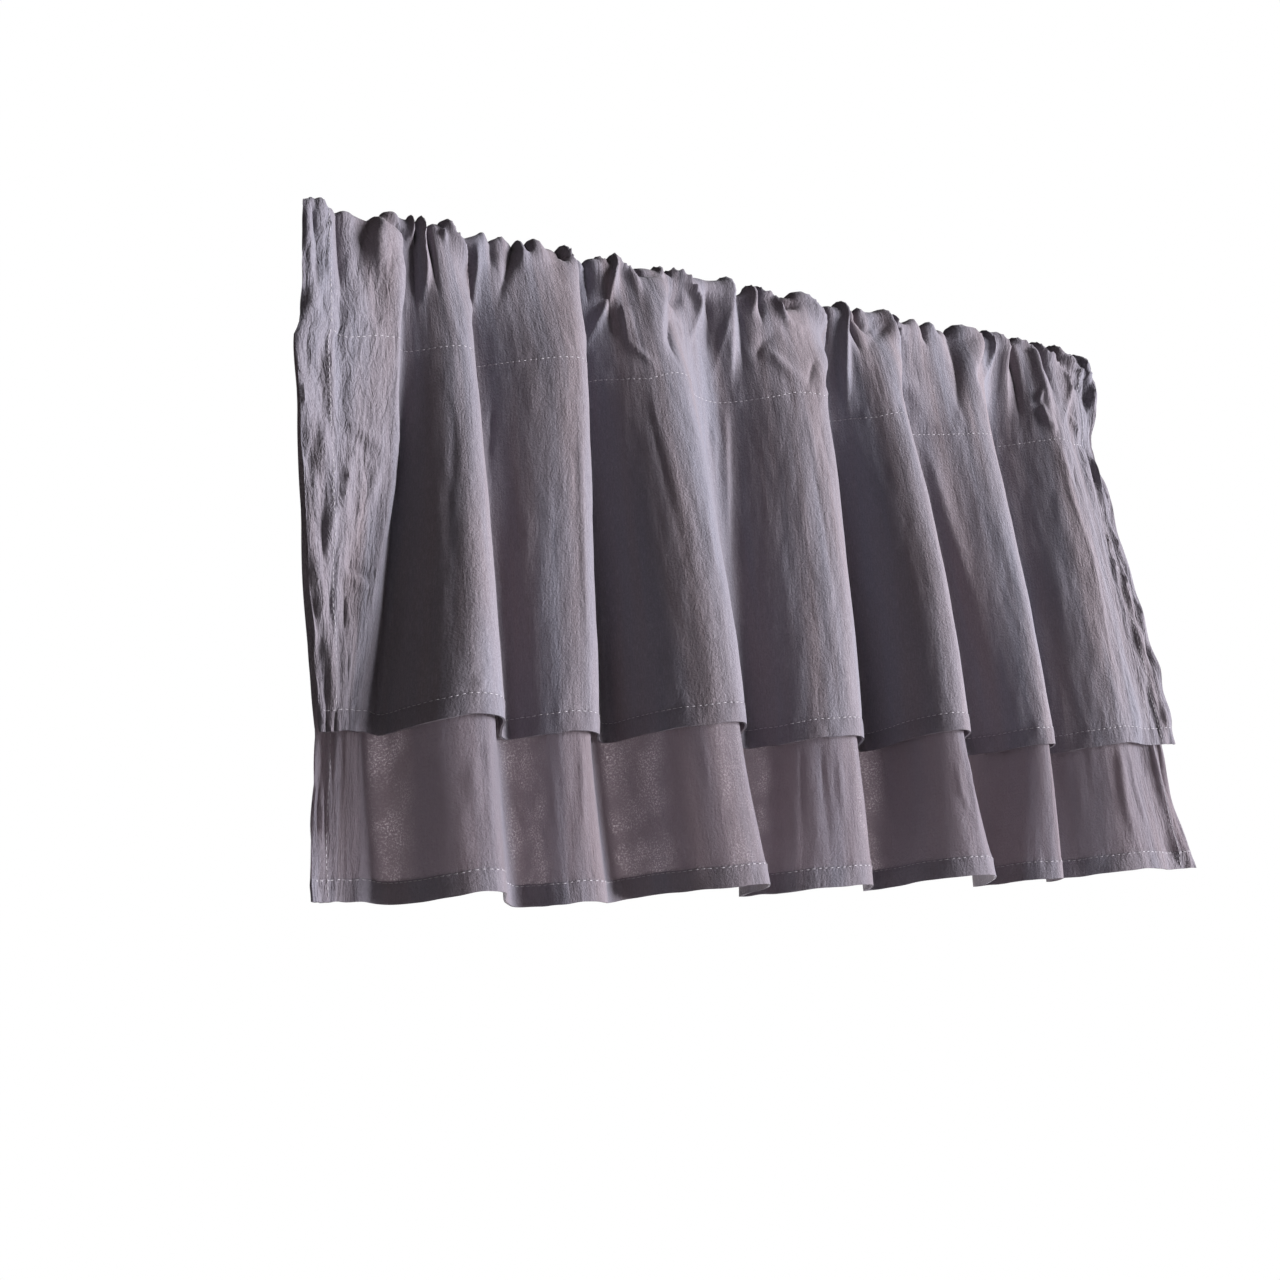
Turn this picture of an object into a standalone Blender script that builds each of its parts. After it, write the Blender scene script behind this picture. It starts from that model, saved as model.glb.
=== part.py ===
# Two-tier cafe curtain in crinkled cotton, hanging gathered on a thin rod.
# One long strip of cloth goes over the rod and is stitched across below it: the loop above
# the stitching is the rod pocket, the short end hangs in front and the long end behind.
# X runs along the rod to the viewer's right, Y goes away from the viewer and Z is up.
# The origin is the middle of the line where the top of the pocket bears on the rod.

import math
from collections import namedtuple

import bmesh
import bpy
from mathutils import Vector

MM = 0.001

# Driving dimensions, in metres
HANGING_WIDTH = 0.686       # gathered width along the rod
FRONT_DROP = 0.350          # rod line down to the front hem
BACK_DROP = 0.450           # rod line down to the back hem
POCKET_DROP = 0.092         # rod line down to the stitching under the pocket
CHANNEL_RADIUS = 0.008      # inside of the pocket where it hugs the rod
CLOTH = 0.0015              # thickness of the cloth with its crinkle
POCKET_CLOSE = 0.0024       # between the middles of the two walls at the stitching
SEAM_GAP = 0.0010           # between the pocket's stitched edge and each tier
PLEAT_RISE = 0.0065         # how far a small gather stands off the rod
PLEAT_ON_TOP = 0.45         # share of that rise on top of the rod
PLEAT_AT_STITCH = 0.30      # share of that rise left at the stitching
PLEAT_FADE = 0.065          # below the stitching, where the small gathers have died out
TIER_GAP = 0.0045           # between the front tier and the back tier
SIDE_GAP = 0.0110           # how much further back the back tier's left side hangs
SIDE_PULL = 0.014           # how far in the back tier's right side hangs at the front hem
SIDE_REACH = 0.8            # share of the last fold that the pull works on
FLANK_FORWARD = 0.16        # how far a left flank is rounded out forwards, as a share of its depth
FLANK_ASIDE = 0.10          # and to the left
SIDE_HEM_RISE = 0.0045      # the stiff side hems stand this far off the rod
COLUMNS_PER_PLEAT = 4

# Where the rows of each piece lie, from its top (0) to its bottom (1), and over the rod
ROD_TURN = (180, 135, 90, 45, 0)
WALL_ROWS = (0.22, 0.48, 0.76)
FRONT_ROWS = (0.0, 0.14, 0.32, 0.54, 0.78, 1.0)
BACK_ROWS = (0.0, 0.13, 0.30, 0.50, 0.72, 0.87, 1.0)

# The folds' plan at a height, one row a fold from left to right, in millimetres.
# x is from the curtain's left edge, y is away from the viewer. A fold starts in its valley,
# comes forward to its crest, which is width across, and goes back behind it. lean moves the
# left flank and tuck the right one sideways, and lift raises the cloth's edge at the crest.
Fold = namedtuple("Fold", "valley_x valley_y crest_x crest_y width lean tuck lift")

STITCH_FOLDS = (
    Fold(-3, -13, 48, -12, 28, -10, 2, 3),
    Fold(76, 7, 102, -20, 22, -3, 5, 0),
    Fold(130, 9, 183, -29, 19, -18, 5, 0),
    Fold(213, 15, 258, -29, 36, -6, 5, 1),
    Fold(319, 7, 374, -31, 34, -13, 4, 0),
    Fold(427, 16, 457, -27, 23, -5, 4, 0),
    Fold(503, 13, 549, -17, 21, -10, 5, 0),
    Fold(588, 0, 620, -29, 24, -6, 10, 0),
)
STITCH_END = (659, -20)

FRONT_FOLDS = (
    Fold(8, -9, 26, -10, 12, 0, 4, 1),
    Fold(46, 3, 91, -63, 34, -9, 3, 0),
    Fold(129, 8, 169, -35, 25, -11, 3, 0),
    Fold(205, 13, 260, -71, 30, -17, 3, 0),
    Fold(311, 16, 362, -50, 36, -12, 6, 0),
    Fold(415, 18, 445, -70, 31, 0, 8, 0),
    Fold(515, 22, 549, -44, 22, -7, 2, 0),
    Fold(570, -12, 620, -52, 42, -8, 0, 0),
)
FRONT_END = (669, -50)

BACK_FOLDS = (
    Fold(0, -9, 22, 2, 14, 0, 6, 2),
    Fold(51, 11, 96, -54, 26, -10, 4, 0),
    Fold(134, 12, 173, -27, 23, -10, 4, -4),
    Fold(213, 17, 272, -64, 26, -20, 3, 0),
    Fold(292, 14, 357, -51, 37, -18, 4, 0),
    Fold(410, 22, 454, -65, 33, -8, 20, 2),
    Fold(505, 28, 543, -40, 20, -11, 3, 2),
    Fold(566, -8, 624, -50, 42, -12, 0, 6),
)
BACK_END = (672, -44)

# The same folds where they reach the rod, one row a fold: x of its valley, crest and right
# shoulder in millimetres from the left edge, and how many small pleats its cloth makes there.
Gather = namedtuple("Gather", "valley_x crest_x shoulder_x pleats")
ROD_GATHERS = (
    Gather(0, 42, 61, 2), Gather(72, 93, 105, 4), Gather(122, 172, 187, 4), Gather(204, 245, 262, 4),
    Gather(308, 366, 392, 4), Gather(424, 450, 462, 3), Gather(500, 541, 557, 3), Gather(590, 619, 650, 4),
)
ROD_END = 684
UNEVEN_PLEATS = (0.30, 0.75, 1.0, 0.62, 0.86, 1.12, 0.7, 0.95, 0.58, 1.05, 0.8)

CLOTH_COLOR = (0.165, 0.140, 0.165, 1.0)
CLOTH_ROUGHNESS = 0.92


def clear_scene():
    for thing in list(bpy.data.objects):
        bpy.data.objects.remove(thing, do_unlink=True)


def mix(a, b, share):
    return a * (1 - share) + b * share


def guide_point(x, y, drop, lift=0.0):
    # Cloth that swings away from the front of the rod hangs that much higher
    y *= MM
    swing = (y + CHANNEL_RADIUS) ** 2 / (2 * drop)
    return Vector((x * MM - HANGING_WIDTH / 2, y, swing - drop + lift * MM))


def fold_points(folds, end, drop, rounding):
    # Five guide points a fold: valley, left flank, crest, right shoulder and right flank
    points = []
    for fold in folds:
        half = fold.width / 2
        middle_y = (fold.valley_y + fold.crest_y) / 2
        rounded = (fold.valley_y - fold.crest_y) * rounding
        shoulder_y = mix(fold.crest_y, fold.valley_y, 0.12)
        for x, y in (
            (fold.valley_x, fold.valley_y),
            (fold.crest_x - half + fold.lean - FLANK_ASIDE * rounded, middle_y - FLANK_FORWARD * rounded),
            (fold.crest_x, fold.crest_y),
            (fold.crest_x + half, shoulder_y),
            (fold.crest_x + half + fold.tuck, middle_y),
        ):
            points.append(guide_point(x, y, drop, fold.lift))
    # The last fold has no right flank: its cloth runs on to the side hem
    side = guide_point(*end, drop, folds[-1].lift)
    points[-1] = mix(points[-2], side, 0.5)
    points.append(side)
    return points


def rod_points():
    # The same five guide points a fold, in line along the rod
    points = []
    valleys = [gather.valley_x for gather in ROD_GATHERS] + [ROD_END]
    for gather, following in zip(ROD_GATHERS, valleys[1:]):
        points += [
            gather.valley_x, mix(gather.valley_x, gather.crest_x, 0.55), gather.crest_x,
            gather.shoulder_x, mix(gather.shoulder_x, following, 0.5),
        ]
    return [Vector((x * MM - HANGING_WIDTH / 2, 0.0, 0.0)) for x in points + [ROD_END]]


def spline(points, t):
    # Uniform cubic B-spline over the guide points, five of them to each unit of t
    place = min(max(t * 5, 0.0), len(points) - 1.0)
    index = min(int(place), len(points) - 2)
    f = place - index
    before = points[index - 1] if index > 0 else points[0] * 2 - points[1]
    after = points[index + 2] if index + 2 < len(points) else points[-1] * 2 - points[-2]
    return (
        before * (1 - f) ** 3
        + points[index] * (3 * f ** 3 - 6 * f ** 2 + 4)
        + points[index + 1] * (-3 * f ** 3 + 3 * f ** 2 + 3 * f + 1)
        + after * f ** 3
    ) / 6


def behind(curve, t):
    # Level direction square to the cloth, pointing to its wall side
    step = 0.02
    along = curve(min(t + step, len(ROD_GATHERS))) - curve(max(t - step, 0.0))
    return Vector((-along.y, along.x, 0.0)).normalized()


def pleat_height(t):
    # Rounded ridges with narrow dips between them, each of its own height
    fold = min(int(t), len(ROD_GATHERS) - 1)
    phase = (t - fold) * ROD_GATHERS[fold].pleats
    number = sum(gather.pleats for gather in ROD_GATHERS[:fold]) + int(phase)
    ridge = abs(math.sin(math.pi * phase)) ** 0.8
    to_side = min(t, len(ROD_GATHERS) - t)
    stiff = SIDE_HEM_RISE * max(0.0, 1 - to_side / 0.5)
    return max(stiff, PLEAT_RISE * UNEVEN_PLEATS[number % len(UNEVEN_PLEATS)] * ridge)


ROD_PLAN = rod_points()
STITCH_PLAN = fold_points(STITCH_FOLDS, STITCH_END, POCKET_DROP, 0.0)
FRONT_PLAN = fold_points(FRONT_FOLDS, FRONT_END, FRONT_DROP, 1.0)
BACK_PLAN = fold_points(BACK_FOLDS, BACK_END, BACK_DROP, 1.0)


def front_cloth(t, share):
    # The front tier's surface, from the stitching (share 0) to the front hem (share 1)
    top = spline(STITCH_PLAN, t)
    hem = spline(FRONT_PLAN, t)
    opened = 1 - (1 - share) ** 1.5
    return Vector((
        mix(top.x, hem.x, share ** 1.3), mix(top.y, hem.y, opened), mix(top.z, hem.z, share)
    ))


def settled_pleat(t, drop):
    # What is left of a small gather a given way below the stitching
    left = max(0.0, 1 - drop / PLEAT_FADE) ** 1.5
    return -pleat_height(t) * PLEAT_AT_STITCH * left


def front_point(t, share):
    surface = front_cloth(t, share)
    drop = share * (FRONT_DROP - POCKET_DROP)
    square = behind(lambda place: front_cloth(place, share), t)
    point = surface + square * settled_pleat(t, drop)
    point.z -= SEAM_GAP * (1 - share)
    return point


def back_point(t, share):
    # Follows the front tier a little way behind it, then flares to its own hem
    drop = share * (BACK_DROP - POCKET_DROP)
    front_length = FRONT_DROP - POCKET_DROP
    beside = min(drop / front_length, 1.0)
    square = behind(lambda place: front_cloth(place, beside), t)
    opened = 1 - (1 - beside) ** 2
    side = SIDE_GAP * max(0.0, 1 - t) ** 2
    gap = mix(POCKET_CLOSE, TIER_GAP + side, opened)
    point = front_cloth(t, beside) + square * (gap + settled_pleat(t, drop))
    point.x -= SIDE_PULL * opened * max(0.0, 1 - (len(ROD_GATHERS) - t) / SIDE_REACH) ** 2
    below = max(0.0, (drop - front_length) / (BACK_DROP - FRONT_DROP))
    hem = spline(BACK_PLAN, t)
    point = mix(point, hem, below ** 1.3)
    point.z = mix(spline(STITCH_PLAN, t).z, hem.z, share) - SEAM_GAP * (1 - share)
    return point


def pocket_section(t):
    # One turn around the pocket: up the front wall, over the rod, down the back, to the seam
    rod = spline(ROD_PLAN, t)
    seam = spline(STITCH_PLAN, t)
    square = behind(lambda place: spline(STITCH_PLAN, place), t)
    pleat = pleat_height(t)
    radius = CHANNEL_RADIUS + CLOTH / 2
    seam_front = seam - square * pleat * PLEAT_AT_STITCH
    seam_back = seam_front + square * POCKET_CLOSE

    def wall_point(side, seam_line, share):
        top = Vector((rod.x, side * (radius + pleat), -CHANNEL_RADIUS))
        point = mix(top, seam_line, share ** 1.5)
        point.z = mix(top.z, seam_line.z, share)
        return point

    def rod_point(degrees):
        turn = math.radians(degrees)
        reach = radius + pleat * mix(PLEAT_ON_TOP, 1.0, abs(math.cos(turn)))
        return Vector((rod.x, math.cos(turn) * reach, math.sin(turn) * reach - CHANNEL_RADIUS))

    closing = Vector((0.0, 0.0, CLOTH))
    return [
        seam_front + closing,
        *[wall_point(-1, seam_front, share) for share in reversed(WALL_ROWS)],
        *[rod_point(degrees) for degrees in ROD_TURN],
        *[wall_point(1, seam_back, share) for share in WALL_ROWS],
        seam_back + closing,
        mix(seam_front, seam_back, 0.5),
    ]


def column_places():
    places = []
    for fold, gather in enumerate(ROD_GATHERS):
        count = gather.pleats * COLUMNS_PER_PLEAT
        places += [fold + step / count for step in range(count)]
    places.append(float(len(ROD_GATHERS)))
    return places


def make_cloth(name, columns, collection, material, closed=False):
    # A grid of the cloth's own columns and rows, given its thickness by a Solidify.
    # A closed one joins its last row to its first, as a tube along the rod.
    rows = len(columns[0]) + (1 if closed else 0)
    grid = bmesh.new()
    bmesh.ops.create_grid(grid, x_segments=len(columns) - 1, y_segments=rows - 1, size=0.5)
    for vertex in grid.verts:
        column = columns[round((vertex.co.x + 0.5) * (len(columns) - 1))]
        row = round((0.5 - vertex.co.y) * (rows - 1))
        vertex.co = column[row % len(column)]
    bmesh.ops.remove_doubles(grid, verts=grid.verts, dist=0.00001)
    bmesh.ops.recalc_face_normals(grid, faces=grid.faces)
    mesh = bpy.data.meshes.new(name)
    grid.to_mesh(mesh)
    grid.free()
    mesh.materials.append(material)
    mesh.shade_smooth()
    piece = bpy.data.objects.new(name, mesh)
    collection.objects.link(piece)
    thickness = piece.modifiers.new("thickness", "SOLIDIFY")
    thickness.thickness = CLOTH
    thickness.offset = 0.0


def cloth_material(name):
    material = bpy.data.materials.new(name)
    material.use_nodes = True
    shader = material.node_tree.nodes["Principled BSDF"]
    shader.inputs["Base Color"].default_value = CLOTH_COLOR
    shader.inputs["Roughness"].default_value = CLOTH_ROUGHNESS
    shader.inputs["Metallic"].default_value = 0.0
    return material


def build_curtain():
    clear_scene()
    collection = bpy.data.collections.new("cafe_curtain")
    bpy.context.scene.collection.children.link(collection)
    places = column_places()
    pocket = [pocket_section(t) for t in places]
    front = [[front_point(t, share) for share in FRONT_ROWS] for t in places]
    back = [[back_point(t, share) for share in BACK_ROWS] for t in places]
    make_cloth("rod_pocket", pocket, collection, cloth_material("pocket_cotton"), closed=True)
    make_cloth("front_tier", front, collection, cloth_material("front_cotton"))
    make_cloth("back_tier", back, collection, cloth_material("back_cotton"))


build_curtain()
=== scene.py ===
import math

import bmesh
import bpy
import numpy as np
from mathutils import Matrix, Vector


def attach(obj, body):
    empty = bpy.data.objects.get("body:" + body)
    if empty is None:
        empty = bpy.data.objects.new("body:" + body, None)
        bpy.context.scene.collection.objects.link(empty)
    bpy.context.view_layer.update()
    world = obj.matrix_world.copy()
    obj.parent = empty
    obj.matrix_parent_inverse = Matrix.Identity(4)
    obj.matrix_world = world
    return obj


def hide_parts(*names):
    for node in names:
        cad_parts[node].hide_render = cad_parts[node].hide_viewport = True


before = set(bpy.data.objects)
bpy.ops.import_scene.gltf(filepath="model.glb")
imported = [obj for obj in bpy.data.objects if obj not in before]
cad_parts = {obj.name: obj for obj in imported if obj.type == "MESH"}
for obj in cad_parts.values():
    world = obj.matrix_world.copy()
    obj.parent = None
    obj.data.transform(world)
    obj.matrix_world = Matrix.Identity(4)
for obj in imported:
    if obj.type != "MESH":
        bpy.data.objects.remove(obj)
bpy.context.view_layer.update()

mm = 0.001
print("frame loaded:", ", ".join(sorted(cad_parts)))

# Sizes that all the pieces share, in millimetres
curtain = {
    "width": 686.0,          # gathered, along the rod
    "folds": 8,
    "pocketDrop": 92.0,      # rod line down to the stitching across
    "frontDrop": 350.0,
    "backDrop": 450.0,
    "rodRadius": 8.6,        # middle of the cloth where it hugs the rod
    "wallGap": 2.2,          # between the two layers at the stitching
    "tierGap": 4.5,          # between the two tiers further down
    "sideGap": 11.0,         # how much further back the back tier's left side hangs
    "sidePull": 14.0,        # how far in its right side hangs
    "sideReach": 0.8,
    "endPull": 7.0,          # how far in the pocket's back wall lies at its left end
    "hemStep": 3.0,          # how far out the left side hem steps below the stitching
    "fullness": 0.19,        # how far the left flanks are rounded out, as a share of their depth
    "flankAside": 0.53,      # of that rounding, to the left
    "flankForward": 0.85,    # and to the front
    "shoulder": 0.16,        # how far back the right shoulder lies, as a share of the depth
    "wallPower": 0.6,        # how early the pocket's folds deepen below the rod
    "cutAngle": 65,          # degrees; only the cloth's cut edges are sharper
    "hem": 14.0,
    "sideHem": 18.0,
    "oneLayer": 0.62,        # thickness of the cloth
    "hemLayers": 1.40,       # thickness where it is folded double
    "flatWidth": 1.0,        # metres
}

# Plan of the folds at three heights, one row a fold from the left: valley x and y, crest x
# and y, width across the crest, lean of the left flank, tuck of the right one, and lift
stitchFolds = [
    (-3, -13, 48, -14, 28, -10, 0, 3), (67, 9, 102, -22, 22, -3, 1, 0),
    (118, 13, 183, -31, 19, -18, 1, 0), (198, 17, 258, -31, 36, -6, 1, 1),
    (312, 13, 374, -32, 34, -13, 1, 0), (410, 18, 457, -29, 23, -5, 1, 0),
    (482, 16, 549, -19, 21, -10, 1, 0), (574, 10, 620, -30, 24, -2, 8, 0),
]
frontFolds = [
    (8, -9, 26, -10, 12, 0, 4, 1), (46, 3, 91, -63, 34, -9, 3, 0),
    (129, 8, 169, -35, 25, -11, 3, 0), (205, 13, 260, -71, 30, -17, 3, 0),
    (311, 16, 362, -50, 36, -12, 6, 0), (415, 18, 445, -70, 31, 0, 8, 0),
    (515, 22, 549, -44, 22, -3, 2, 0), (568, -2, 620, -52, 42, 0, 0, 0),
]
backFolds = [
    (0, -9, 22, 2, 14, 0, 6, 2), (51, 11, 96, -54, 26, -10, 4, 0),
    (134, 12, 173, -27, 23, -10, 4, -4), (213, 17, 272, -64, 26, -20, 3, 0),
    (292, 14, 357, -51, 37, -18, 4, 0), (410, 22, 454, -65, 33, -8, 20, 2),
    (505, 28, 543, -40, 20, -11, 3, 2), (564, 0, 624, -50, 42, -4, 0, 6),
]
foldEnds = {"stitch": (659, -20), "front": (669, -50), "back": (672, -44)}
# The same folds where they reach the rod: x of valley, crest and right shoulder
rodFolds = [
    (0, 42, 61), (66, 92, 102), (108, 172, 187), (193, 245, 260),
    (296, 366, 397), (404, 450, 467), (474, 541, 559), (580, 619, 650),
]
rodEnd = 684


def blend(a, b, share):
    return a * (1 - share) + b * share


def smooth(x):
    x = np.clip(x, 0.0, 1.0)
    return x * x * (3 - 2 * x)


def foldGuides(folds, end, drop):
    # Five guide points a fold: valley, left flank, crest, right shoulder and right flank
    guides = []
    for valleyX, valleyY, crestX, crestY, width, lean, tuck, lift in folds:
        half, middleY = width / 2, (valleyY + crestY) / 2
        shoulderY, full = blend(crestY, valleyY, curtain["shoulder"]), curtain["fullness"] * (valleyY - crestY)
        flankX = crestX - half + lean - curtain["flankAside"] * full
        guides += [
            (valleyX, valleyY, lift), (flankX, middleY - curtain["flankForward"] * full, lift),
            (crestX, crestY, lift), (crestX + half, shoulderY, lift),
            (crestX + half + tuck, middleY, lift),
        ]
    # The last fold has no right flank: its cloth runs on to the side hem
    side = (*end, folds[-1][7])
    guides[-1] = [(a + b) / 2 for a, b in zip(guides[-2], side)]
    guides = np.array([*guides, side], dtype=float)
    # Cloth that swings away from the front of the rod hangs that much higher
    guides[:, 2] += (guides[:, 1] + 8) ** 2 / (2 * drop) - drop
    return guides


def rodGuides():
    guides = []
    nextValleys = [row[0] for row in rodFolds[1:]] + [rodEnd]
    for (valley, crest, shoulder), following in zip(rodFolds, nextValleys):
        guides += [valley, blend(valley, crest, 0.55), crest, shoulder, blend(shoulder, following, 0.4)]
    xs = np.array([*guides, rodEnd], dtype=float)
    return np.stack([xs, 0 * xs, 0 * xs], axis=1)


def along(guides, t):
    # Uniform cubic B-spline over the guide points, five of them to a fold
    place = np.clip(t * 5, 0, len(guides) - 1)
    index = np.minimum(place.astype(int), len(guides) - 2)
    f = (place - index)[..., None]
    ends = [2 * guides[0] - guides[1]], [2 * guides[-1] - guides[-2]]
    padded = np.vstack([ends[0], guides, ends[1]])
    before, here, following, after = (padded[index + k] for k in range(4))
    return (
        before * (1 - f) ** 3 + here * (3 * f ** 3 - 6 * f ** 2 + 4)
        + following * (-3 * f ** 3 + 3 * f ** 2 + 3 * f + 1) + after * f ** 3
    ) / 6


rodPlan = rodGuides()
stitchPlan = foldGuides(stitchFolds, foldEnds["stitch"], curtain["pocketDrop"])
frontPlan = foldGuides(frontFolds, foldEnds["front"], curtain["frontDrop"])
backPlan = foldGuides(backFolds, foldEnds["back"], curtain["backDrop"])


def evenColumns(count):
    # Fold positions spread so that the columns lie evenly on the hanging cloth
    fine = np.linspace(0, curtain["folds"], 4001)
    length = np.zeros_like(fine)
    for plan, weight in ((rodPlan, 0.8), (stitchPlan, 1.0), (frontPlan, 1.2)):
        steps = np.linalg.norm(np.diff(along(plan, fine), axis=0), axis=1)
        length[1:] += weight * np.cumsum(steps)
    return np.interp(np.linspace(0, length[-1], count), length, fine)


def toWall(grid, t):
    # Level direction square to the cloth, pointing to its wall side, for every point
    run = np.gradient(grid[..., :2], t, axis=0)
    square = np.stack([-run[..., 1], run[..., 0], np.zeros(run.shape[:2])], axis=-1)
    return square / np.linalg.norm(square, axis=-1, keepdims=True)


def fromSide(t, reach):
    # 1 at the cloth's left and right edge, 0 from a given share of a fold inwards
    return np.clip(1 - np.minimum(t, curtain["folds"] - t) / reach, 0, 1)


def frontBase(t, drops):
    share = ((drops - curtain["pocketDrop"]) / (curtain["frontDrop"] - curtain["pocketDrop"]))[None, :, None]
    top, hem = along(stitchPlan, t)[:, None], along(frontPlan, t)[:, None]
    easing = 1.3 + 0.5 * fromSide(t, 0.8)[:, None, None]
    grid = blend(top, hem, share)
    grid[..., 0:1] = blend(top[..., 0:1], hem[..., 0:1], share ** easing)
    grid[..., 1:2] = blend(top[..., 1:2], hem[..., 1:2], 1 - (1 - share) ** 1.5)
    return grid


def backBase(t, drops):
    # Follows the front tier a little way behind it, then flares to its own hem
    length = curtain["frontDrop"] - curtain["pocketDrop"]
    drop = (drops - curtain["pocketDrop"])[None, :, None]
    beside = np.minimum(drop / length, 1.0)
    grid = frontBase(t, np.minimum(drops, curtain["frontDrop"]))
    opened = 1 - (1 - beside) ** 2
    side = curtain["sideGap"] * (np.clip(1 - t, 0, 1) ** 2)[:, None, None]
    grid += toWall(grid, t) * blend(curtain["wallGap"], curtain["tierGap"] + side, opened)
    toRight = np.clip(1 - (curtain["folds"] - t) / curtain["sideReach"], 0, 1) ** 2
    grid[..., 0] -= curtain["sidePull"] * opened[..., 0] * toRight[:, None]
    below = np.clip((drop - length) / (curtain["backDrop"] - curtain["frontDrop"]), 0, 1)
    hem = along(backPlan, t)[:, None]
    grid = blend(grid, hem, below ** 1.3)
    start = along(stitchPlan, t)[:, None, 2]
    grid[..., 2] = blend(start, hem[..., 2], (drop[..., 0] / (curtain["backDrop"] - curtain["pocketDrop"])))
    return grid


def endPull(t):
    return curtain["endPull"] * np.clip(1 - t / 0.3, 0, 1)[:, None] ** 2


def wallBase(t, drops, side):
    # The pocket's front wall (side -1) or back wall (side 1)
    radius = curtain["rodRadius"]
    seam = along(stitchPlan, t)
    foot = seam + toWall(seam[:, None], t)[:, 0] * (curtain["wallGap"] if side > 0 else 0.0)
    top = along(rodPlan, t) + (0, side * radius, -radius)
    share = ((drops - radius) / (curtain["pocketDrop"] - radius))[None, :, None]
    grid = blend(top[:, None], foot[:, None], share)
    grid[..., 1] = blend(top[:, None, 1], foot[:, None, 1], share[..., 0] ** curtain["wallPower"])
    if side > 0:
        grid[..., 0] += (1 - share[..., 0]) * endPull(t)
    return grid


def overRod(t, degrees):
    turn = np.radians(degrees)[None, :]
    rod = along(rodPlan, t)[:, None]
    radius = curtain["rodRadius"]
    grid = rod + np.stack([0 * turn, np.cos(turn) * radius, (np.sin(turn) - 1) * radius], axis=-1)
    grid[..., 0] += (1 + np.cos(turn)) / 2 * endPull(t)
    return grid


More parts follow.
